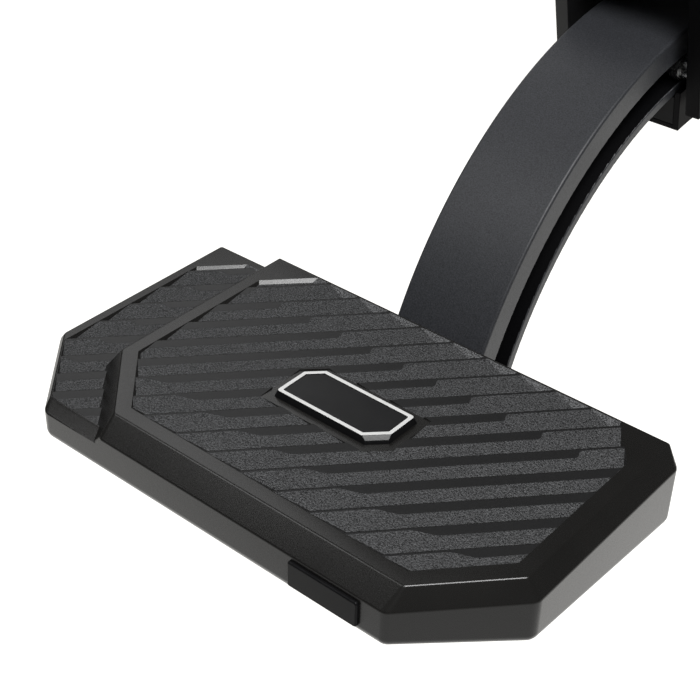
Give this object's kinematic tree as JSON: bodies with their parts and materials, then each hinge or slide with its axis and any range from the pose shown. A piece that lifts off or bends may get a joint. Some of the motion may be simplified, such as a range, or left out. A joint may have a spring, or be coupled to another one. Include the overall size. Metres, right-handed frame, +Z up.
{
  "type": "retractable bed step",
  "caption": "Retractable step for a pickup bed: a two-level tread pad on a curved grooved arm that slides along its own arc through a roller housing under a bolt-on mounting plate.",
  "frame": {"origin": "middle of the mounting plate's top face, at the centre of its bolt pattern", "axes": "+Z up along the mounting bolts, +Y towards the vehicle, X across; the pad reaches out along -Y"},
  "size_m": [0.3911, 0.5793, 0.2701],
  "materials": {
    "pad": "moulded, satin rim and grained tread",
    "arm": "fine-textured black powder coat over aluminium",
    "bracket": "satin black powder coat over steel",
    "zinc": "bright zinc plate",
    "nylon": "moulded nylon",
    "slider": "low-friction moulded block",
    "bumper": "moulded rubber",
    "badge": "gloss black with a pale raised border"
  },
  "bodies": {
    "housing": {"side_plate_left": "bracket", "side_plate_right": "bracket", "mount_plate": "bracket", "rear_cross_brace": "bracket", "stop_bumpers": "bumper", "saddle_bracket": "bracket", "saddle_block": "slider", "axle_bolts": "zinc", "axle_spacers": "zinc", "roller_sleeves": "zinc", "axle_washers": "zinc", "axle_nuts": "zinc"},
    "step_arm": {"curved_arm": "arm", "tail_stop_plate": "bracket", "stop_plate_screws": "zinc", "carrier_plate": "bracket", "pad_bolts": "zinc", "pad_bolt_washers": "zinc", "step_pad": "pad", "top_badge": "badge", "front_badge": "badge"},
    "roller_front_left": {"guide_roller_front_left": "nylon"},
    "roller_front_right": {"guide_roller_front_right": "nylon"},
    "roller_rear_left": {"guide_roller_rear_left": "nylon"},
    "roller_rear_right": {"guide_roller_rear_right": "nylon"}
  },
  "joints": [
    {"name": "retract", "type": "hinge", "parent": "housing", "child": "step_arm", "pos_m": [0, 0, -0.3475], "axis": [-1, 0, 0], "range_deg": [0, 42]},
    {"name": "roller_front_left_turn", "type": "hinge", "parent": "housing", "child": "roller_front_left", "pos_m": [-0.03355, -0.03498, -0.08179], "axis": [-1, 0, 0], "range_deg": [0, 1160]},
    {"name": "roller_front_right_turn", "type": "hinge", "parent": "housing", "child": "roller_front_right", "pos_m": [0.03355, -0.03498, -0.08179], "axis": [-1, 0, 0], "range_deg": [0, 1160]},
    {"name": "roller_rear_left_turn", "type": "hinge", "parent": "housing", "child": "roller_rear_left", "pos_m": [-0.03355, 0.03498, -0.08179], "axis": [-1, 0, 0], "range_deg": [-1080, 0]},
    {"name": "roller_rear_right_turn", "type": "hinge", "parent": "housing", "child": "roller_rear_right", "pos_m": [0.03355, 0.03498, -0.08179], "axis": [-1, 0, 0], "range_deg": [-1080, 0]}
  ],
  "couplings": [
    {"joint": "roller_front_left_turn", "follows": "retract", "ratio": 27.438},
    {"joint": "roller_front_right_turn", "follows": "retract", "ratio": 27.438},
    {"joint": "roller_rear_left_turn", "follows": "retract", "ratio": -25.369},
    {"joint": "roller_rear_right_turn", "follows": "retract", "ratio": -25.369}
  ]
}
